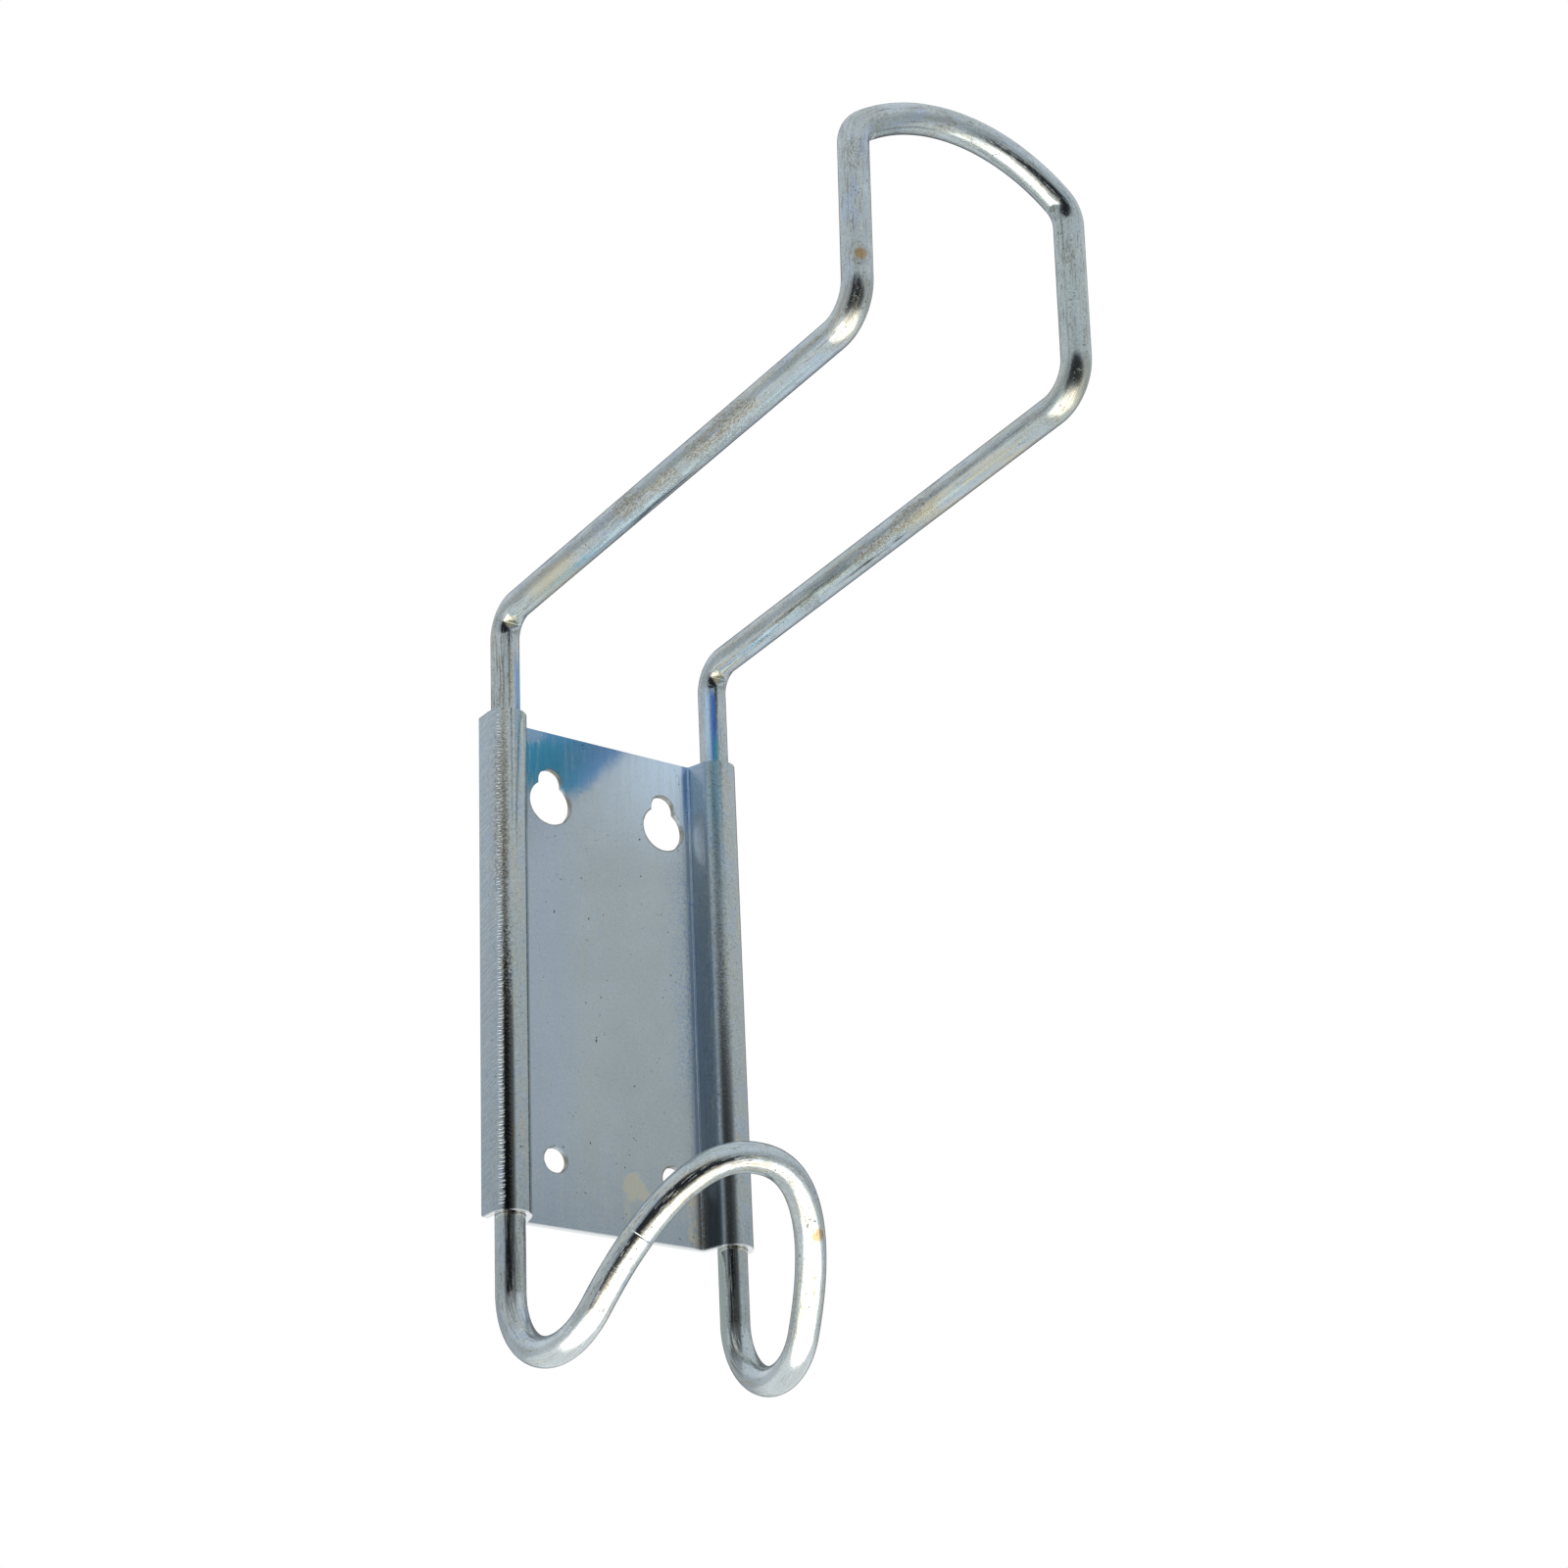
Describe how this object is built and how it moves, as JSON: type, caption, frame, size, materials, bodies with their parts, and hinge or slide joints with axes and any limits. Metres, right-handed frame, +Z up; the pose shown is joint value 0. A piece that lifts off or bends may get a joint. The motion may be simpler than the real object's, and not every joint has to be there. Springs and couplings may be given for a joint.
{
  "type": "wall storage hook",
  "caption": "Wall-fixed storage hook for a bicycle: a closed loop of bent steel rod held in the hooped edges of a folded plate with keyholes.",
  "frame": {"origin": "middle of the wall plate's back face, in the plane of the wall", "axes": "X runs along the wall, +Y runs into the wall, and +Z is up"},
  "size_m": [0.0804, 0.1785, 0.2927],
  "materials": {
    "plate_zinc": "bright zinc plated sheet",
    "rod_zinc": "bright zinc plated rod"
  },
  "bodies": {
    "root": {"wall_plate": "plate_zinc", "rod_frame": "rod_zinc"}
  },
  "joints": []
}
